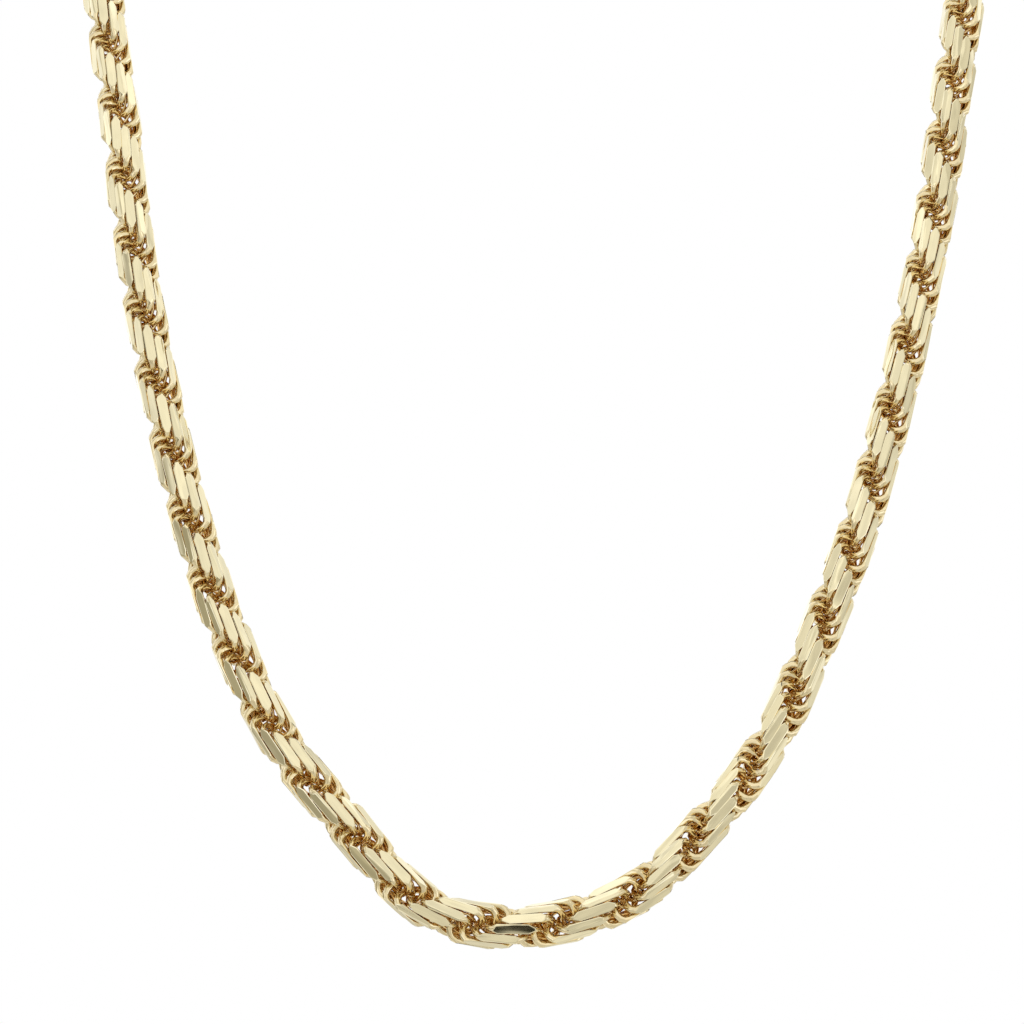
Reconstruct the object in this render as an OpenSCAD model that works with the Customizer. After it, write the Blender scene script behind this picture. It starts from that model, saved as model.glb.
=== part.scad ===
// Rope chain necklace: one closed loop with a plain barrel clasp at the nape.
// Millimetres. +Z is up, -Y is the front of the wearer, the origin is the middle of the clasp.

/* [Rope] */
// Outer diameter of the rope
rope_d = 5; // [4:0.25:6]
// Sides of the rope's round
rope_sides = 12; // [8:1:12]

/* [Clasp] */
// Length of the clasp over both caps
clasp_len = 17; // [15:0.5:20]
// Diameter of the barrel between the caps
barrel_d = 7.2; // [6:0.1:9]
// Rounding of the barrel's ends
barrel_edge = 1.2; // [0.4:0.1:1.8]
// Width of the seam round the middle of the barrel
seam_w = 0.5; // [0.2:0.1:1]
// Depth of the seam round the middle of the barrel
seam_depth = 0.3; // [0.1:0.05:0.6]
// Diameter of the necks between the barrel and the caps
neck_d = 4.6; // [3:0.1:5.5]
// Length of each neck
neck_len = 0.8; // [0.4:0.1:1.2]
// Length of each end cap
cap_len = 3.2; // [2.6:0.1:3.6]
// Wall of each end cap
cap_wall = 0.6; // [0.4:0.05:1]
// Rounding of the cap's outer edges
cap_edge = 0.3; // [0.1:0.05:0.35]
// Depth of the socket that each end of the rope goes into
socket_depth = 1.6; // [1:0.1:2]
// Play round the rope in its socket
socket_play = 0.15; // [0.1:0.05:0.3]
// Gap between the rope's end and the socket's floor
end_gap = 0.1; // [0.05:0.05:0.3]

/* [Hidden] */
turn_fn = 64;
gold = [0.87, 0.73, 0.43];

// Where the rope ends, inside its socket
end_x = clasp_len / 2 - socket_depth + end_gap;
cap_d = rope_d + 2 * (socket_play + cap_wall);
socket_d = rope_d + 2 * socket_play;
barrel_len = clasp_len - 2 * (cap_len + neck_len);

// The rope's route from the clasp's left end, down the wearer's front and up to its right end.
// The first and last stretches lie round the nape, and the rest hangs on the chest.
ROUTE = [
    [-19, -1.5, 0], [-30, -7, -1.5], [-39.5, -15, -3.5], [-47.5, -25, -6], [-53, -35.5, -10],
    [-56, -46, -16], [-56.5, -56, -24], [-55, -64.5, -35.5], [-52.5, -72.5, -49.5],
    [-50.5, -79.5, -63], [-48, -86, -76.5], [-45, -92, -89.5], [-41.5, -97.5, -102],
    [-37, -102.5, -114.5], [-31, -107, -126.5], [-22.5, -111, -137], [-13, -114, -146.5],
    [-1.5, -115, -149], [11, -114, -145.5], [20.5, -111, -137], [28.5, -107, -126.5],
    [34.5, -102.5, -114], [39.5, -97, -101.5], [43.5, -91.5, -89], [47, -85.5, -76],
    [50, -79, -63], [52.5, -72, -49.5], [55, -64.5, -35.5], [56.5, -56, -24],
    [56, -46, -16], [53, -35.5, -10], [47.5, -25, -6], [39.5, -15, -3.5], [30, -7, -1.5],
    [19, -1.5, 0]
];
// Rings of the rope in each stretch between two points of the route
rings_each = 2;

route = concat([[-end_x, 0, 0]], ROUTE, [[end_x, 0, 0]]);
last = len(route) - 1;
// A point before the first and one after the last make the rope leave the clasp straight
before = [2 * route[0].x - route[1].x, route[1].y, route[1].z];
after = [2 * route[last].x - route[last - 1].x, route[last - 1].y, route[last - 1].z];
ctrl = concat([before], route, [after]);

// A smooth curve through the points b and c, with a and d as their neighbours
function curve(a, b, c, d, t) =
    0.5 * (2 * b + (c - a) * t + (2 * a - 5 * b + 4 * c - d) * t * t
    + (3 * b - a - 3 * c + d) * t * t * t);
function curve_dir(a, b, c, d, t) =
    0.5 * ((c - a) + 2 * (2 * a - 5 * b + 4 * c - d) * t + 3 * (3 * b - a - 3 * c + d) * t * t);
function unit(v) = v / norm(v);

// Ring i of the rope: its stretch, how far along it, its middle and its direction
ring_count = last * rings_each + 1;
function stretch(i) = min(floor(i / rings_each), last - 1);
function along(i) = i / rings_each - stretch(i);
function middle(i) = let (k = stretch(i))
    curve(ctrl[k], ctrl[k + 1], ctrl[k + 2], ctrl[k + 3], along(i));
function heading(i) = let (k = stretch(i))
    unit(curve_dir(ctrl[k], ctrl[k + 1], ctrl[k + 2], ctrl[k + 3], along(i)));

// The points of ring i, in the plane across the rope
function ring(i) = let (
    m = middle(i),
    h = heading(i),
    side = unit(cross(h, [0, 0, 1])),
    top = cross(side, h))
    [for (j = [0 : rope_sides - 1]) let (a = 360 * j / rope_sides)
        m + rope_d / 2 * (cos(a) * side + sin(a) * top)];

// The twisted rope as one solid of its outer size
module rope_chain() {
    points = [for (i = [0 : ring_count - 1]) each ring(i)];
    walls = [for (i = [0 : ring_count - 2]) for (j = [0 : rope_sides - 1])
        let (a = i * rope_sides, n = (j + 1) % rope_sides)
        [a + j, a + n, a + rope_sides + n, a + rope_sides + j]];
    first_end = [for (j = [rope_sides - 1 : -1 : 0]) j];
    last_end = [for (j = [0 : rope_sides - 1]) (ring_count - 1) * rope_sides + j];
    color(gold) polyhedron(points, concat([first_end], walls, [last_end]), convexity = 6);
}

// A turned piece with rounded edges, along Z and centred
module turned(length, d, edge) {
    rotate_extrude($fn = turn_fn) intersection() {
        union() {
            translate([0, edge - length / 2]) square([d / 2, length - 2 * edge]);
            translate([0, -length / 2]) square([d / 2 - edge, length]);
            for (s = [-1, 1])
                translate([d / 2 - edge, s * (length / 2 - edge)]) circle(r = edge, $fn = turn_fn);
        }
        translate([0, -length / 2]) square([d, length]);
    }
}

// A barrel between two caps that take the rope's ends
module clasp() {
    color(gold) rotate([0, 90, 0]) difference() {
        union() {
            turned(barrel_len, barrel_d, barrel_edge);
            cylinder(h = clasp_len - 2 * socket_depth, d = neck_d, center = true, $fn = turn_fn);
            for (s = [-1, 1])
                translate([0, 0, s * (clasp_len - cap_len) / 2]) turned(cap_len, cap_d, cap_edge);
        }
        seam();
        for (s = [-1, 1])
            translate([0, 0, s * (clasp_len - socket_depth + end_gap) / 2])
                cylinder(h = socket_depth + end_gap, d = socket_d, center = true, $fn = turn_fn);
    }
}

// The fine groove round the middle of the barrel
module seam() {
    rotate_extrude($fn = turn_fn)
        translate([barrel_d / 2 - seam_depth, -seam_w / 2]) square([barrel_d, seam_w]);
}

rope_chain();
clasp();
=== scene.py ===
import math
import random

import bpy
from mathutils import Matrix, Vector
from mathutils.bvhtree import BVHTree


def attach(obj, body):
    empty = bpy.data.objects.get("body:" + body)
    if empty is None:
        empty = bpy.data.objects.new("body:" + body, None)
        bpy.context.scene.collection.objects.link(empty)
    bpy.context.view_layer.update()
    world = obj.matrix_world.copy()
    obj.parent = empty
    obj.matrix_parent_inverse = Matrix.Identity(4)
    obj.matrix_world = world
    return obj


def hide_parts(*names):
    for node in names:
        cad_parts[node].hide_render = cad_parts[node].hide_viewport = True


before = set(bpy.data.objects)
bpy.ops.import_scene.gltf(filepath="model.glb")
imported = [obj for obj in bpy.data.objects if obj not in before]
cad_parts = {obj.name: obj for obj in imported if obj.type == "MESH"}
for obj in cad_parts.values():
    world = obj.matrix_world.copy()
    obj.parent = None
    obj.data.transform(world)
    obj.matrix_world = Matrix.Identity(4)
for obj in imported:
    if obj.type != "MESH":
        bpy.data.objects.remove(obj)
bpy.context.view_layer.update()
mm = 0.001


# Small helpers
def deselectAll():
    if bpy.context.object and bpy.context.object.mode != "OBJECT":
        bpy.ops.object.mode_set(mode="OBJECT")
    bpy.ops.object.select_all(action="DESELECT")


def makeOnly(thing):
    deselectAll()
    thing.select_set(True)
    bpy.context.view_layer.objects.active = thing


def selectPoints(test):  # leaves edit mode on, with just these points selected
    bpy.ops.mesh.select_mode(type="VERT")
    bpy.ops.mesh.select_all(action="DESELECT")
    bpy.ops.object.mode_set(mode="OBJECT")
    for point in bpy.context.object.data.vertices:
        point.select = test(point.co)
    bpy.ops.object.mode_set(mode="EDIT")


# Camera, level with the middle of the front of the loop, as the chain was photographed
cameraSet = {
    "place": (-0.0028, -0.685, -0.1002),
    "lens": 170.3,  # mm
    "sensor": 36.0,  # mm
    "nearest": 0.05,  # m
    "furthest": 20,
}


def makeCamera():
    deselectAll()
    bpy.ops.object.camera_add(location=cameraSet["place"], rotation=(math.radians(90), 0, 0))
    camera = bpy.context.object
    camera.name = "frontCamera"
    camera.data.lens = cameraSet["lens"]
    camera.data.sensor_width = cameraSet["sensor"]
    camera.data.clip_start = cameraSet["nearest"]
    camera.data.clip_end = cameraSet["furthest"]
    bpy.context.scene.camera = camera
    print("camera made")


# The rope's way from the clasp's left end down the front and up to its right end, in metres
ropeWay = [
    (-0.007, 0, 0), (-0.019, -0.0015, 0), (-0.030, -0.007, -0.0015), (-0.0395, -0.015, -0.0035),
    (-0.0475, -0.025, -0.006), (-0.053, -0.0355, -0.010), (-0.056, -0.046, -0.016),
    (-0.0565, -0.056, -0.024), (-0.055, -0.0645, -0.0355), (-0.0525, -0.0725, -0.0495),
    (-0.0505, -0.0795, -0.063), (-0.048, -0.086, -0.0765), (-0.045, -0.092, -0.0895),
    (-0.0415, -0.0975, -0.102), (-0.037, -0.1025, -0.1145), (-0.031, -0.107, -0.1265),
    (-0.0225, -0.111, -0.137), (-0.013, -0.114, -0.1465), (-0.0015, -0.115, -0.149),
    (0.011, -0.114, -0.1455), (0.0205, -0.111, -0.137), (0.0285, -0.107, -0.1265),
    (0.0345, -0.1025, -0.114), (0.0395, -0.097, -0.1015), (0.0435, -0.0915, -0.089),
    (0.047, -0.0855, -0.076), (0.050, -0.079, -0.063), (0.0525, -0.072, -0.0495),
    (0.055, -0.0645, -0.0355), (0.0565, -0.056, -0.024), (0.056, -0.046, -0.016),
    (0.053, -0.0355, -0.010), (0.0475, -0.025, -0.006), (0.0395, -0.015, -0.0035),
    (0.030, -0.007, -0.0015), (0.019, -0.0015, 0), (0.007, 0, 0),
]


def curvePoint(a, b, c, d, t):  # on a smooth curve from b to c, with a and d as their neighbours
    return 0.5 * (2 * b + (c - a) * t + (2 * a - 5 * b + 4 * c - d) * t ** 2
                  + (3 * b - a - 3 * c + d) * t ** 3)


def ropeFrames(stepsEach=40):
    # Places along the rope with a direction and a side that doesn't twist on its way
    way = [Vector(p) for p in ropeWay]
    first = Vector((2 * way[0].x - way[1].x, way[1].y, way[1].z))
    last = Vector((2 * way[-1].x - way[-2].x, way[-2].y, way[-2].z))
    way = [first] + way + [last]
    places = []
    for k in range(1, len(way) - 2):
        for j in range(stepsEach):
            places.append(curvePoint(*way[k - 1:k + 3], j / stepsEach))
    places.append(way[-2].copy())
    headings = []
    for i in range(len(places)):
        near, far = places[max(i - 1, 0)], places[min(i + 1, len(places) - 1)]
        headings.append((far - near).normalized())
    distance = [0.0]
    for a, b in zip(places, places[1:]):
        distance.append(distance[-1] + (b - a).length)
    lowest = min(range(len(places)), key=lambda i: places[i].z)
    sides = [None] * len(places)
    for step in (1, -1):  # from the lowest point both ways
        side = Vector((0, 1, 0))
        i = lowest
        while 0 <= i < len(places):
            side = (side - headings[i] * side.dot(headings[i])).normalized()
            sides[i] = side
            i += step
    return distance, places, headings, sides


# One link: a D of wire that spans the whole rope, with its straight side outside
linkSet = {
    "halfLength": 2.935,  # mm from the middle to the end, on the wire's midline
    "reach": 4.15,  # mm across the rope, from midline to midline
    "outerCorner": 1.07,  # mm radius
    "innerCorner": 2.38,
    "outerSteps": 3,
    "innerSteps": 3,
    "wireSides": 6,
    "thick": 0.82,  # mm of wire on the outer side, across the rope
    "wide": 0.76,  # mm of wire in the outer corners, round the rope
    "legThick": 0.95,  # the wire past the outer corners, as a share of theirs
    "legWide": 0.8,
    "innerThick": 0.38,  # the same for the inner side's wire
    "innerWide": 0.56,
    "broaden": 1.52,  # how much broader the outer side is than its corners
    "flatten": 2.0,  # how much broader still its face is hammered
    "crown": 0.08,  # mm that the middle of the outer side stands out
    "twist": 0.18,  # radians from the outer side to the inner side
    "outAt": 2.38,  # mm from the rope's axis to the outer side's midline
    "aside": -0.28,  # mm that the link lies beside the rope's axis
    "turn": -0.122,  # radians about the rope's direction
    "tilt": 0.02,  # radians about the outward direction
    "near": 0.01,  # mm within which two points count as one
}
ropeSet = {
    "perTurn": 13,  # links of each strand in one turn
    "pitch": 19.15,  # mm along the rope for one turn, by which the links are spaced
    # The twist is slacker or tighter in places: mm along the rope, and mm for one turn there
    "pitchAt": [(105, 19.2), (125, 20.4), (150, 19.2), (185, 18.8), (225, 17.8), (255, 18.4), (270, 20.5),
                (282, 22.8), (296, 20.0), (310, 18.8), (350, 19.2), (390, 19.8), (494, 19.2)],
    "cutRadius": 2.5,  # mm from the axis to each flat that has a rim
    "cutSides": 8,  # flats round the rope
    "cutTurn": -12.0,  # degrees that all the planes are turned
    "cutLeast": 0.004,  # mm that a link stands out past cutRadius where it is worth a cut
    "cutMerge": 0.002,  # mm within which a point of the wire lies on the cut
    "cutNear": 0.003,  # mm within which a face lies on the cut
    "cutLevel": 0.9999,  # the least cosine between that face's normal and the cut's
    # The planes roll slowly round the rope: mm along it, and degrees there
    "rollAt": [(121, -2), (150, -14), (193, -11), (226, -12), (240, -19), (248, -21), (258, -44), (275, -39),
               (305, -39), (330, -55), (345, -55), (366, -39)],
    "cutSlip": 2.6,  # degrees that a cut may lean off its plane
    "rimWide": 0.1,  # mm of burnished rim round each cut flat
    "rimLow": 0.035,  # mm that the rim falls away
    "rimLeast": 0.25,  # mm2 of the smallest flat that has a rim
    "variants": 24,  # cut links made, each with the planes turned a little further
    "firstAt": 1.3,  # mm from the rope's end to the first link's middle
    "startTurn": 33.0,  # degrees of the first link
    "loose": 0.9,  # degrees that a link may sit off its turn
    "slack": 0.04,  # mm that a link may sit off its place
    "openRays": 64,  # rays from each point of the link to find how open it lies
    "openReach": 6.0,  # mm that they look
    "openLinks": 9,  # neighbours to each side that stand in their way
    "grainShift": (3.7, 1.3),  # mm that the grain moves from one link to the next
    "seed": 7,
}


def makeLink():
    s = linkSet
    straight = s["halfLength"] - s["outerCorner"]
    inner = s["halfLength"] - s["innerCorner"]
    across = s["reach"] - s["outerCorner"] - s["innerCorner"]
    deselectAll()
    bpy.ops.mesh.primitive_circle_add(vertices=s["wireSides"], radius=0.5)
    link = bpy.context.object
    link.name = "oneLink"
    bpy.ops.object.mode_set(mode="EDIT")
    bpy.ops.mesh.select_all(action="SELECT")
    flatShare = math.cos(math.pi / s["wireSides"])
    bpy.ops.transform.resize(value=(s["thick"] / flatShare, s["wide"], 1), center_override=(0, 0, 0))
    bpy.ops.transform.translate(value=(0, 0, -straight))

    def extrude(x, z):
        bpy.ops.mesh.extrude_region_move(TRANSFORM_OT_translate={"value": (x, 0, z)})

    def corner(x, z, steps):
        bpy.ops.mesh.spin(steps=steps, angle=math.pi / 2, center=(x, 0, z), axis=(0, 1, 0))

    def thin(x, z, thickness, width):  # the ring in hand lies across the rope here
        bpy.ops.transform.resize(value=(1, width, thickness), center_override=(x, 0, z))

    leg = s["legThick"], s["legWide"]
    inward = s["innerThick"] / leg[0], s["innerWide"] / leg[1]
    outX, inX = -s["outerCorner"], s["innerCorner"] - s["reach"]
    extrude(0, straight)
    extrude(0, straight)
    corner(outX, straight, s["outerSteps"])
    thin(outX, s["halfLength"], *leg)
    extrude(-across, 0)
    thin(inX, s["halfLength"], *inward)
    corner(inX, inner, s["innerSteps"])
    extrude(0, -2 * inner)
    corner(inX, -inner, s["innerSteps"])
    thin(inX, -s["halfLength"], 1 / inward[0], 1 / inward[1])
    extrude(across, 0)
    thin(outX, -s["halfLength"], 1 / leg[0], 1 / leg[1])
    corner(outX, -straight, s["outerSteps"])
    bpy.ops.mesh.select_all(action="SELECT")
    bpy.ops.mesh.remove_doubles(threshold=s["near"])
    selectPoints(lambda p: p.x > -s["reach"] / 2 and abs(p.z) > s["near"])  # outer part, not its middle ring
    bpy.ops.transform.translate(value=(-s["crown"], 0, 0))
    sideEnd = straight + s["near"]
    selectPoints(lambda p: p.x > -s["crown"] - s["near"] and abs(p.z) < sideEnd)  # the outer half
    bpy.ops.transform.resize(value=(1, s["broaden"], 1), center_override=(0, 0, 0))
    selectPoints(lambda p: p.x > s["near"] and abs(p.z) < sideEnd)  # its face
    bpy.ops.transform.resize(value=(1, s["flatten"], 1), center_override=(0, 0, 0))
    bpy.ops.mesh.select_all(action="SELECT")
    bpy.ops.mesh.normals_make_consistent(inside=False)
    bpy.ops.object.mode_set(mode="OBJECT")
    bend = link.modifiers.new("twist", "SIMPLE_DEFORM")
    bend.deform_method = "TWIST"
    bend.deform_axis = "X"
    bend.angle = s["twist"]
    bpy.ops.object.modifier_apply(modifier=bend.name)
    # Into the rope, with the rope's axis along Z and the outer side towards +X
    out = math.sqrt(s["outAt"] ** 2 - s["aside"] ** 2)
    link.data.transform(Matrix.Translation((out, s["aside"], 0)) @ Matrix.Rotation(s["turn"], 4, "Z")
                        @ Matrix.Rotation(-s["tilt"], 4, "X"))
    print("link made,", len(link.data.polygons), "faces")
    return link


def markOpen(link):
    # How much of the air round the rope each point of the link can see past its neighbours, from which the
    # gold's material paints shade in the gaps
    s = ropeSet
    points, faces = [], []
    for n in range(-s["openLinks"], s["openLinks"] + 1):
        turn = Matrix.Rotation(n * (math.pi - math.pi / s["perTurn"]), 4, "Z")
        further = Vector((0, 0, n * s["pitch"] / 2 / s["perTurn"]))
        first = len(points)
        points += [turn @ p.co + further for p in link.data.vertices]
        faces += [[first + v for v in f.vertices] for f in link.data.polygons]
    around = BVHTree.FromPolygons(points, faces)
    share = link.data.attributes.new("open", "FLOAT", "POINT")
    rays = s["openRays"]
    spin = 2.4  # radians from one ray to the next, which spreads them evenly
    lift = 0.03  # mm off the wire, so that no ray starts inside it
    for p in link.data.vertices:
        upright = p.normal.to_track_quat("Z", "Y")
        seen = 0
        for k in range(rays):
            out = math.sqrt((k + 0.5) / rays)
            ray = Vector((out * math.cos(spin * k), out * math.sin(spin * k), math.sqrt(1 - out * out)))
            seen += around.ray_cast(p.co + p.normal * lift, upright @ ray, s["openReach"])[0] is None
        share.data[p.index].value = seen / rays


def selectFlats(cut, flats, least):  # in edit mode, with just the flats of a larger area selected
    bpy.ops.mesh.select_all(action="DESELECT")
    bpy.ops.object.mode_set(mode="OBJECT")
    for index in flats:
        cut.data.polygons[index].select = cut.data.polygons[index].area > least
    bpy.ops.object.mode_set(mode="EDIT")


def cutLink(link, offset, chance):
    # A copy of the link with its outer side cut flat where the planes meet it
    s = ropeSet
    cut = link.copy()
    cut.data = link.data.copy()
    bpy.context.collection.objects.link(cut)
    makeOnly(cut)
    slip = s["cutSlip"]
    planes = []
    for k in (-1, 0, 1):
        around = math.radians(offset + k * 360 / s["cutSides"] + chance.uniform(-slip, slip))
        lean = math.radians(chance.uniform(-slip, slip))
        level = math.cos(lean)
        outward = Vector((math.cos(around) * level, math.sin(around) * level, math.sin(lean)))
        if any(p.co.dot(outward) > s["cutRadius"] + s["cutLeast"] for p in cut.data.vertices):
            planes.append(outward)
    cutAt = s["cutRadius"] - s["rimLow"]
    for outward in planes:
        bpy.ops.object.mode_set(mode="EDIT")
        bpy.ops.mesh.select_all(action="SELECT")
        bpy.ops.mesh.bisect(plane_co=outward * cutAt, plane_no=outward, use_fill=True, clear_outer=True,
                            threshold=s["cutMerge"])
        bpy.ops.object.mode_set(mode="OBJECT")

    def isCut(face):
        return any(face.normal.dot(outward) > s["cutLevel"]
                   and abs(face.center.dot(outward) - cutAt) < s["cutNear"] for outward in planes)

    flats = [face.index for face in cut.data.polygons if isCut(face)]
    marks = cut.data.attributes.new("cutFlat", "FLOAT", "FACE")
    for face in cut.data.polygons:
        face.use_smooth = True
        marks.data[face.index].value = face.index in flats
    bpy.ops.object.mode_set(mode="EDIT")
    bpy.ops.mesh.select_mode(type="FACE")
    selectFlats(cut, flats, 0)
    bpy.ops.mesh.mark_sharp()
    selectFlats(cut, flats, s["rimLeast"])
    bpy.ops.mesh.inset(thickness=s["rimWide"], depth=s["rimLow"], use_individual=True)
    bpy.ops.mesh.mark_sharp()
    bpy.ops.mesh.select_mode(type="VERT")
    bpy.ops.object.mode_set(mode="OBJECT")
    return cut


def tableAt(table, along):  # straight lines between the places that the table gives
    if along <= table[0][0]:
        return table[0][1]
    for (a, low), (b, high) in zip(table, table[1:]):
        if along <= b:
            return low + (high - low) * (along - a) / (b - a)
    return table[-1][1]


def layRope():
    s = ropeSet
    chance = random.Random(s["seed"])
    link = makeLink()
    markOpen(link)
    section = 360 / s["cutSides"]
    offsets = [section * (k + 0.5) / s["variants"] - section / 2 for k in range(s["variants"])]
    variants = [cutLink(link, offset, chance) for offset in offsets]
    print("cut links made, most faces", max(len(v.data.polygons) for v in variants))
    distance, places, headings, sides = ropeFrames()
    advance = s["pitch"] / 2 / s["perTurn"] * mm
    length = distance[-1]
    count = int((length - 2 * s["firstAt"] * mm) / advance) + 1
    start = (length - (count - 1) * advance) / 2
    shiftAlong, shiftAround = s["grainShift"]
    links = []
    k = 0
    lay = s["startTurn"]
    for i in range(count):
        along = start + i * advance + chance.uniform(-1, 1) * s["slack"] * mm
        while distance[k + 1] < along:
            k += 1
        t = (along - distance[k]) / (distance[k + 1] - distance[k])
        place = places[k].lerp(places[k + 1], t)
        heading = headings[k].lerp(headings[k + 1], t).normalized()
        away = sides[k].lerp(sides[k + 1], t)
        away = (away - heading * away.dot(heading)).normalized()
        down = away.cross(heading)
        turn = lay % 360
        lay += 180 - 360 * advance / mm / tableAt(s["pitchAt"], (start + i * advance) / mm)
        offset = (s["cutTurn"] + tableAt(s["rollAt"], along / mm) - turn + section / 2) % section
        variant = variants[int(offset / section * s["variants"]) % s["variants"]]
        turn += chance.uniform(-1, 1) * s["loose"]
        axes = Matrix((down, away, heading)).transposed().to_4x4()
        mesh = variant.data.copy()
        tone = mesh.attributes.new("linkTone", "FLOAT", "FACE")
        tone.data.foreach_set("value", [chance.random()] * len(mesh.polygons))
        uv = mesh.uv_layers.new(name="grain")
        for corner in mesh.loops:
            p = mesh.vertices[corner.vertex_index].co
            angle = math.atan2(p.y, p.x)
            uv.data[corner.index].uv = (p.z + i * shiftAlong, angle * s["cutRadius"] + i * shiftAround)
        mesh.transform(Matrix.Translation(place) @ axes @ Matrix.Rotation(math.radians(turn), 4, "Z")
                       @ Matrix.Scale(mm, 4))
        one = bpy.data.objects.new("link", mesh)
        bpy.context.collection.objects.link(one)
        links.append(one)
    deselectAll()
    for one in links:
        one.select_set(True)
    bpy.context.view_layer.objects.active = links[0]
    bpy.ops.object.join()
    rope = links[0]
    rope.name = "rope_links"
    rope.data.name = "rope_links"
    for spare in variants + [link]:
        bpy.data.objects.remove(spare)
    print("rope laid,", count, "links,", sum(len(f.vertices) - 2 for f in rope.data.polygons), "triangles")
    return rope


# Materials
def newGroup(name, inputs, outputs):
    # An empty shader group with its sockets, and the nodes that they start and end at
    group = bpy.data.node_groups.new(name, "ShaderNodeTree")
    for label, kind, value in inputs:
        socket = group.interface.new_socket(label, in_out="INPUT", socket_type="NodeSocket" + kind)
        if value is not None:
            socket.default_value = value
    for label, kind in outputs:
        group.interface.new_socket(label, in_out="OUTPUT", socket_type="NodeSocket" + kind)
    return group, group.nodes.new("NodeGroupInput"), group.nodes.new("NodeGroupOutput")


def feed(tree, socket, value):  # the value is another socket or a plain number or colour
    if isinstance(value, bpy.types.NodeSocket):
        tree.links.new(value, socket)
    else:
        socket.default_value = value


def mathNode(tree, operation, *values):
    node = tree.nodes.new("ShaderNodeMath")
    node.operation = operation
    for socket, value in zip(node.inputs, values):
        feed(tree, socket, value)
    return node.outputs["Value"]


def vectorNode(tree, operation, vector, other):
    node = tree.nodes.new("ShaderNodeVectorMath")
    node.operation = operation
    feed(tree, node.inputs[0], vector)
    feed(tree, node.inputs["Scale" if operation == "SCALE" else 1], other)
    return node.outputs["Value" if operation == "DOT_PRODUCT" else "Vector"]


def noiseNode(tree, where, scale, detail):
    node = tree.nodes.new("ShaderNodeTexNoise")
    node.inputs["Detail"].default_value = detail
    feed(tree, node.inputs["Scale"], scale)
    feed(tree, node.inputs["Vector"], where)
    return node.outputs["Fac"]


def mixNode(tree, share, first, second, blend="MIX"):
    node = tree.nodes.new("ShaderNodeMix")
    node.data_type = "RGBA"
    node.blend_type = blend
    feed(tree, node.inputs["Factor"], share)
    feed(tree, node.inputs["A"], first)
    feed(tree, node.inputs["B"], second)
    return node.outputs["Result"]


def spread(tree, value, low, high):  # from 0 at low to 1 at high
    node = tree.nodes.new("ShaderNodeMapRange")
    node.inputs["From Min"].default_value = low
    node.inputs["From Max"].default_value = high
    feed(tree, node.inputs["Value"], value)
    return node.outputs["Result"]


def cameraSees(tree, shown, lit):  # a shader for the camera, and another one for everything else
    path = tree.nodes.new("ShaderNodeLightPath")
    mix = tree.nodes.new("ShaderNodeMixShader")
    feed(tree, mix.inputs["Fac"], path.outputs["Is Camera Ray"])
    feed(tree, mix.inputs[1], lit)
    feed(tree, mix.inputs[2], shown)
    return mix.outputs["Shader"]


# What the shared effects do: a range is where their noise or openness turns from 0 to 1
effectSet = {
    "lines": (0.35, 0.7),
    "smudge": (0.42, 0.68),
    "scratch": (0.66, 0.74),
    "scratchTurn": (0.3, 0.5, 0.6),  # radians
    "scratchStretch": (0.25, 7.0, 7.0),
    "pale": (0.03, 0.3),  # openness from the painted gap shade's deep gold to pale
    "lit": (0.0, 0.08),  # openness from the darkest painted gap shade to full brightness
    "gapLight": 0.4,  # brightness of the painted shade in the darkest gaps
    "toneLight": (0.93, 0.1),  # least brightness of a link, and how much more the brightest has
    "dulling": 0.08,  # how much darker a dull place is
}


def makePolishLines():
    # Fine lines that cutting or turning leaves, long one way and close together the other way
    group, start, end = newGroup(
        "polishLines",
        [("Where", "Vector", None), ("Stretch", "Vector", (1, 1, 1))],
        [("Height", "Float"), ("Lines", "Float")])
    stretched = vectorNode(group, "MULTIPLY", start.outputs["Where"], start.outputs["Stretch"])
    fine = noiseNode(group, stretched, 1.0, detail=3.0)
    feed(group, end.inputs["Height"], fine)
    feed(group, end.inputs["Lines"], spread(group, fine, *effectSet["lines"]))
    return group


def makeWaves():
    # The slight unevenness of a face that was cut or polished by hand
    group, start, end = newGroup("softWaves", [("Where", "Vector", None), ("Stretch", "Vector", (1, 1, 1))],
                                 [("Height", "Float")])
    stretched = vectorNode(group, "MULTIPLY", start.outputs["Where"], start.outputs["Stretch"])
    feed(group, end.inputs["Height"], noiseNode(group, stretched, 1.0, detail=0.0))
    return group


def makeHandling():
    # Soft smudges from fingers, and sparse hairline scratches
    s = effectSet
    group, start, end = newGroup(
        "handling",
        [("Where", "Vector", None), ("Smudge Scale", "Float", 0.3), ("Scratch Scale", "Float", 1.0)],
        [("Smudge", "Float"), ("Scratch", "Float")])
    patch = noiseNode(group, start.outputs["Where"], start.outputs["Smudge Scale"], detail=3.0)
    feed(group, end.inputs["Smudge"], spread(group, patch, *s["smudge"]))
    turned = group.nodes.new("ShaderNodeMapping")
    turned.inputs["Rotation"].default_value = s["scratchTurn"]
    turned.inputs["Scale"].default_value = s["scratchStretch"]
    feed(group, turned.inputs["Vector"], start.outputs["Where"])
    hair = noiseNode(group, turned.outputs["Vector"], start.outputs["Scratch Scale"], detail=1.0)
    feed(group, end.inputs["Scratch"], spread(group, hair, *s["scratch"]))
    return group


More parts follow.
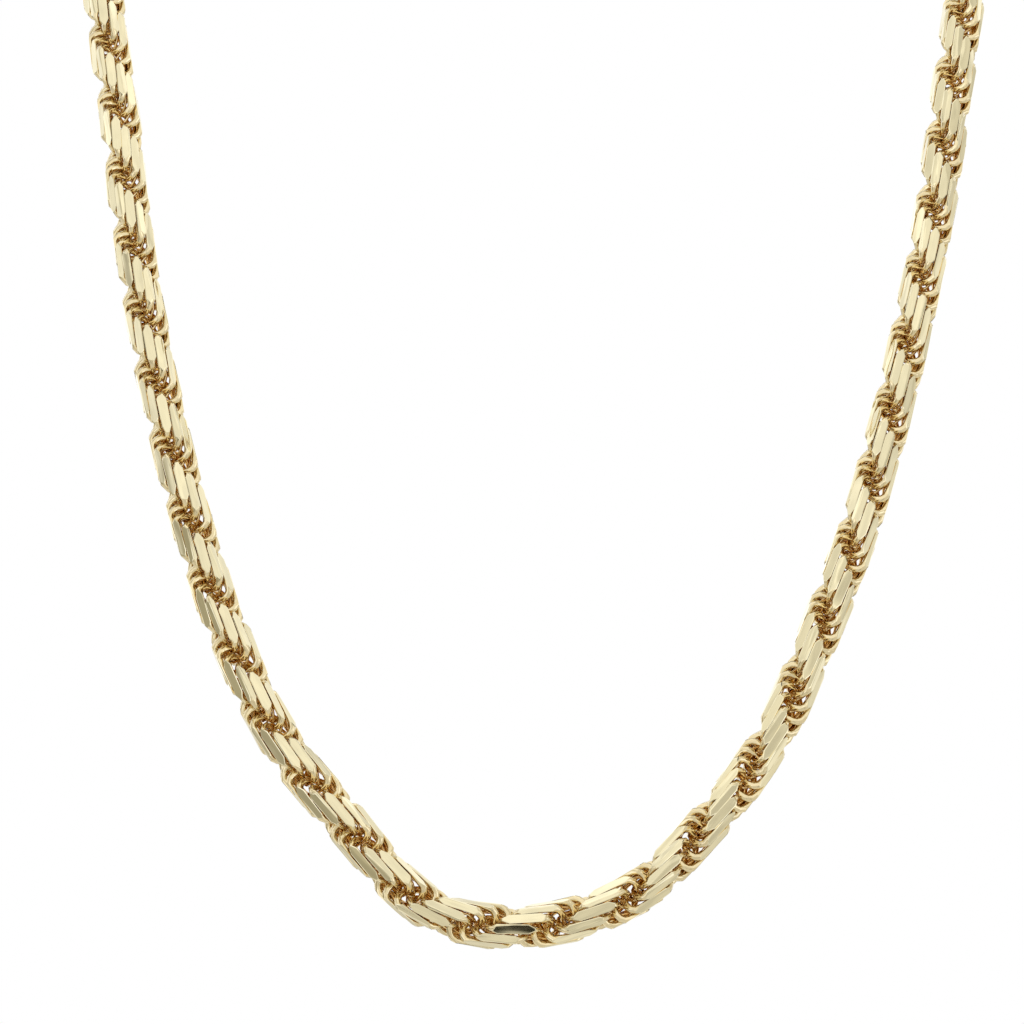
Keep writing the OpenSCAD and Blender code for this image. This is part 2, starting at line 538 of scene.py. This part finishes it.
def makeGoldToneAndGapShade():
    # Gold with painted shade down between the links, deeper in colour and darker where a point sees little
    # open air, and a little different on each
    s = effectSet
    group, start, end = newGroup(
        "goldToneAndGapShade",
        [("Pale", "Color", (1, 1, 1, 1)), ("Deep", "Color", (1, 1, 1, 1)), ("Open", "Float", 1.0),
         ("Tone", "Float", 0.5), ("Dulling", "Float", 0.0)],
        [("Color", "Color")])
    # painted shade: deep gold in the gaps, pale gold out in the open
    colour = mixNode(group, spread(group, start.outputs["Open"], *s["pale"]), start.outputs["Deep"],
                     start.outputs["Pale"])
    least, more = s["toneLight"]
    light = mathNode(group, "MULTIPLY_ADD", start.outputs["Tone"], more, least)
    # painted shade: darker still in the narrowest gaps
    lit = spread(group, start.outputs["Open"], *s["lit"])
    light = mathNode(group, "MULTIPLY", light,
                     mathNode(group, "MULTIPLY_ADD", lit, 1 - s["gapLight"], s["gapLight"]))
    dull = mathNode(group, "MULTIPLY", start.outputs["Dulling"], s["dulling"])
    light = mathNode(group, "SUBTRACT", light, dull)
    feed(group, end.inputs["Color"], vectorNode(group, "SCALE", colour, light))
    return group


groups = {}  # the shared effects, made with the first material
goldSet = {
    "rope": {
        # the pale colour is the lit gold; the other one is painted shade for the gaps between links
        "pale": (0.985, 0.905, 0.64, 1), "gapShadeGold": (0.87, 0.45, 0.03, 1),
        "stretch": (0.5, 6.0, 1.0),  # lines along the rope
        "smudgeScale": 0.35, "scratchScale": 1.2,
        "roughness": (0.05, 0.13), "bump": 0.012, "bumpDistance": 0.00002,
        "waveStretch": (0.25, 0.9, 1.0), "waves": 0.6, "waveDistance": 0.0001,
    },
    "clasp": {
        "pale": (0.95, 0.83, 0.53, 1), "gapShadeGold": (0.90, 0.70, 0.34, 1),
        "stretch": (9.0, 0.25, 0.25),  # lines round the barrel
        "smudgeScale": 0.5, "scratchScale": 0.6,
        "roughness": (0.06, 0.18), "bump": 0.08, "bumpDistance": 0.00003,
        "waveStretch": (0.3, 0.3, 0.3), "waves": 0.3, "waveDistance": 0.0001,
    },
}


# How much each effect dulls, roughens or cuts into the gold
wearSet = {
    "dull": {"lines": 0.7, "smudge": 0.5},
    "rough": {"lines": 0.35, "smudge": 0.45, "scratch": 0.4},
    "scratchDepth": 0.6,
    "wireOpen": 0.26,  # the most that uncut wire counts as open, so the painted gap shade always deepens it a little
    "wireRough": 0.5,  # how much rougher uncut wire is
    "toneScale": 0.8,  # patches of tone on the clasp, for each mm
}


def goldMaterial(name, kind):
    s, wear = goldSet[kind], wearSet
    if not groups:
        groups.update(lines=makePolishLines(), waves=makeWaves())
        groups.update(handling=makeHandling(), tone=makeGoldToneAndGapShade())
    material = bpy.data.materials.new(name)
    material.use_nodes = True
    tree = material.node_tree
    shader = tree.nodes["Principled BSDF"]
    shader.inputs["Metallic"].default_value = 1

    def place(key, **values):
        node = tree.nodes.new("ShaderNodeGroup")
        node.node_tree = groups[key]
        for label, value in values.items():
            node.inputs[label.replace("_", " ")].default_value = value
        return node

    def attribute(label):
        node = tree.nodes.new("ShaderNodeAttribute")
        node.attribute_name = label
        return node.outputs["Fac"]

    def bumpNode(height, strength, distance):
        node = tree.nodes.new("ShaderNodeBump")
        node.inputs["Strength"].default_value = strength
        node.inputs["Distance"].default_value = distance
        feed(tree, node.inputs["Height"], height)
        return node

    if kind == "rope":
        spot = tree.nodes.new("ShaderNodeUVMap")
        spot.uv_map = "grain"
        where = spot.outputs["UV"]
    else:
        spot = tree.nodes.new("ShaderNodeTexCoord")
        where = vectorNode(tree, "SCALE", spot.outputs["Object"], 1 / mm)
    lines = place("lines", Stretch=s["stretch"])
    marks = place("handling", Smudge_Scale=s["smudgeScale"], Scratch_Scale=s["scratchScale"])
    tone = place("tone", Pale=s["pale"], Deep=s["gapShadeGold"])
    waves = place("waves", Stretch=s["waveStretch"])
    for node in (lines, waves, marks):
        feed(tree, node.inputs["Where"], where)
    dull = mathNode(tree, "MULTIPLY", lines.outputs["Lines"], wear["dull"]["lines"])
    dull = mathNode(tree, "MULTIPLY_ADD", marks.outputs["Smudge"], wear["dull"]["smudge"], dull)
    feed(tree, tone.inputs["Dulling"], dull)
    rough = mathNode(tree, "MULTIPLY", lines.outputs["Lines"], wear["rough"]["lines"])
    rough = mathNode(tree, "MULTIPLY_ADD", marks.outputs["Smudge"], wear["rough"]["smudge"], rough)
    rough = mathNode(tree, "MULTIPLY_ADD", marks.outputs["Scratch"], wear["rough"]["scratch"], rough)
    height = mathNode(tree, "MULTIPLY_ADD", marks.outputs["Scratch"], -wear["scratchDepth"],
                      lines.outputs["Height"])
    if kind == "rope":
        # Painted shade from openness darkens and deepens the gold in the gaps. The rubbed flats are kept the
        # palest, and the wire between them is held a little deeper, partly as painted shade and partly as
        # wire that was never polished as brightly
        wire = mathNode(tree, "MINIMUM", attribute("open"), wear["wireOpen"])
        feed(tree, tone.inputs["Open"], mathNode(tree, "MAXIMUM", wire, attribute("cutFlat")))
        feed(tree, tone.inputs["Tone"], attribute("linkTone"))
        rougher = mathNode(tree, "MULTIPLY_ADD", attribute("cutFlat"), -wear["wireRough"], wear["wireRough"])
        rough = mathNode(tree, "ADD", rough, rougher)
    else:
        feed(tree, tone.inputs["Tone"], noiseNode(tree, where, wear["toneScale"], detail=2.0))
    low, high = s["roughness"]
    final = tree.nodes.new("ShaderNodeMapRange")
    final.inputs["To Min"].default_value = low
    final.inputs["To Max"].default_value = high
    feed(tree, final.inputs["Value"], rough)
    feed(tree, shader.inputs["Roughness"], final.outputs["Result"])
    feed(tree, shader.inputs["Base Color"], tone.outputs["Color"])
    uneven = bumpNode(waves.outputs["Height"], s["waves"], s["waveDistance"])
    fine = bumpNode(height, s["bump"], s["bumpDistance"])
    feed(tree, fine.inputs["Normal"], uneven.outputs["Normal"])
    feed(tree, shader.inputs["Normal"], fine.outputs["Normal"])
    print(name, "made")
    return material


# Stage
stageSet = {
    "floorAt": -0.172,  # m
    "floorSize": 4.0,  # m
    "floorColour": (0.5, 0.49, 0.46, 1),
    "floorRoughness": 0.9,
    "floorSeen": 1.0,  # brightness of the floor to the camera
}


def makeStage():
    deselectAll()
    bpy.ops.mesh.primitive_plane_add(size=stageSet["floorSize"], location=(0, 0, stageSet["floorAt"]))
    floor = bpy.context.object
    floor.name = "pale_floor"
    material = bpy.data.materials.new("paleFloor")
    material.use_nodes = True
    tree = material.node_tree
    shader = tree.nodes["Principled BSDF"]
    shader.inputs["Base Color"].default_value = stageSet["floorColour"]
    shader.inputs["Roughness"].default_value = stageSet["floorRoughness"]
    seen = tree.nodes.new("ShaderNodeEmission")
    seen.inputs["Strength"].default_value = stageSet["floorSeen"]
    floorShader = cameraSees(tree, seen.outputs["Emission"], shader.outputs["BSDF"])
    feed(tree, tree.nodes["Material Output"].inputs["Surface"], floorShader)
    floor.data.materials.append(material)
    floor.visible_glossy = False  # the light's own dark and pale zones show in the gold instead
    print("stage made")


# The light: a studio that is duller in front than behind, and a soft panel close over the chain's middle
lightSet = {
    "around": [(0.0, 0.66), (0.5, 0.66), (0.6, 0.8), (0.71, 0.94), (0.85, 1.04), (1.0, 1.1)],
    "lean": -0.12,  # how much the left side counts as behind
    "warmth": 0.45,  # how much redder a dark place is than a bright one
    "flagsFrom": (0.3, 0.6),  # how far behind the chain the flags begin
    # Dark flags high and low behind the chain, from straight down to straight up
    "flags": [(0.0, 0.75), (0.2, 0.7), (0.3, 0.3), (0.42, 1.0), (0.78, 1.0), (0.88, 0.35), (1.0, 0.8)],
    # Soft patches as direction, cosines of the soft edge from outside to inside, and brightness
    "patches": [
        ((0.77, -0.64, 0.0), 0.92, 0.965, 1.1),  # side lights
        ((-0.75, -0.65, 0.1), 0.94, 0.975, 1.05),
        ((0.99, 0.08, 0.09), 0.97, 0.99, 0.8),
        ((-0.94, -0.13, 0.3), 0.975, 0.992, 0.9),
        ((0.02, -0.86, -0.51), 0.995, 0.9993, 0.02),  # the dark of the camera
        ((-0.99, 0.05, -0.09), 0.90, 0.97, 0.36),  # duller places
        ((-0.85, -0.42, -0.32), 0.96, 0.995, 0.4),
        ((-0.37, 0.86, -0.34), 0.94, 0.985, 0.7),
        ((-0.6, -0.16, 0.79), 0.95, 0.985, 0.58),
        ((-0.26, -0.42, 0.87), 0.96, 0.99, 0.68),
        ((0.38, -0.52, 0.77), 0.97, 0.995, 0.62),
        ((0.85, 0.53, 0.04), 0.97, 0.992, 0.65),
    ],
    "glow": 1.035,  # brightness of the whole studio
    # A room is never even, so neighbouring flats mirror a little more or less of it
    "mottle": 0.32,
    "mottleScale": 7.0,
    "mottleFrom": (0.35, 0.65),
    "panelAt": (0.0, -0.151, -0.048),  # m
    "panelTilt": 60.0,  # degrees
    "panelWide": 0.16,  # m
    "panelLong": 0.34,
    "panelGlow": 0.27,
}


def warmGrey(level):  # the darker the warmer
    warm = 1 - lightSet["warmth"] * max(0, 1 - level)
    return level, level * (3 + warm) / 4, level * warm, 1


def ramp(tree, share, greys):
    # A ramp of warm greys from (place, brightness) pairs
    node = tree.nodes.new("ShaderNodeValToRGB")
    stops = node.color_ramp.elements
    for place, grey in greys[1:-1]:
        stops.new(place)
    for stop, (place, grey) in zip(stops, greys):
        stop.position = place
        stop.color = warmGrey(grey)
    feed(tree, node.inputs["Fac"], share)
    return node.outputs["Color"]


def makeWorld():
    s = lightSet
    world = bpy.data.worlds.new("studio")
    bpy.context.scene.world = world
    world.use_nodes = True
    tree = world.node_tree
    lit = tree.nodes["Background"]
    seen = tree.nodes.new("ShaderNodeBackground")
    seen.inputs["Color"].default_value = (1, 1, 1, 1)
    where = tree.nodes.new("ShaderNodeTexCoord").outputs["Generated"]
    behind = vectorNode(tree, "DOT_PRODUCT", where, (s["lean"], 1, 0))
    axes = tree.nodes.new("ShaderNodeSeparateXYZ")
    feed(tree, axes.inputs["Vector"], where)
    height = mathNode(tree, "MULTIPLY_ADD", axes.outputs["Z"], 0.5, 0.5)  # from 0 to 1
    colour = mixNode(tree, spread(tree, axes.outputs["Y"], *s["flagsFrom"]),
                     ramp(tree, spread(tree, behind, -1, 1), s["around"]),
                     ramp(tree, height, s["flags"]), "MULTIPLY")
    for direction, outside, inside, level in s["patches"]:
        near = vectorNode(tree, "DOT_PRODUCT", where, Vector(direction).normalized())
        soft = tree.nodes.new("ShaderNodeMapRange")
        soft.interpolation_type = "SMOOTHSTEP"
        soft.inputs["From Min"].default_value = outside
        soft.inputs["From Max"].default_value = inside
        feed(tree, soft.inputs["Value"], near)
        colour = mixNode(tree, soft.outputs["Result"], colour, warmGrey(level))
    uneven = spread(tree, noiseNode(tree, where, s["mottleScale"], detail=1.0), *s["mottleFrom"])
    uneven = mathNode(tree, "MULTIPLY_ADD", uneven, s["mottle"], s["glow"] - s["mottle"] / 2)
    feed(tree, lit.inputs["Color"], vectorNode(tree, "SCALE", colour, uneven))
    worldShader = cameraSees(tree, seen.outputs["Background"], lit.outputs["Background"])
    feed(tree, tree.nodes["World Output"].inputs["Surface"], worldShader)
    bpy.context.scene.view_settings.view_transform = "Standard"
    print("studio made")


def makePanel():
    s = lightSet
    deselectAll()
    bpy.ops.object.light_add(type="AREA", location=s["panelAt"])
    panel = bpy.context.object
    panel.name = "softPanel"
    tilt = math.radians(s["panelTilt"])
    aim = Vector((0, math.cos(tilt), -math.sin(tilt)))
    panel.rotation_euler = aim.to_track_quat("-Z", "Y").to_euler()
    panel.data.shape = "ELLIPSE"
    panel.data.size = s["panelWide"]
    panel.data.size_y = s["panelLong"]
    area = math.pi / 4 * s["panelWide"] * s["panelLong"]
    panel.data.energy = s["panelGlow"] * math.pi * area
    panel.visible_camera = False
    print("panel made")


makeCamera()
rope = layRope()
rope.data.materials.clear()
rope.data.materials.append(goldMaterial("facetedGold", "rope"))
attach(rope, "root")
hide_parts("rope_chain")
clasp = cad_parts["clasp"]
clasp.data.materials.clear()
clasp.data.materials.append(goldMaterial("turnedGold", "clasp"))
makeStage()
makeWorld()
makePanel()
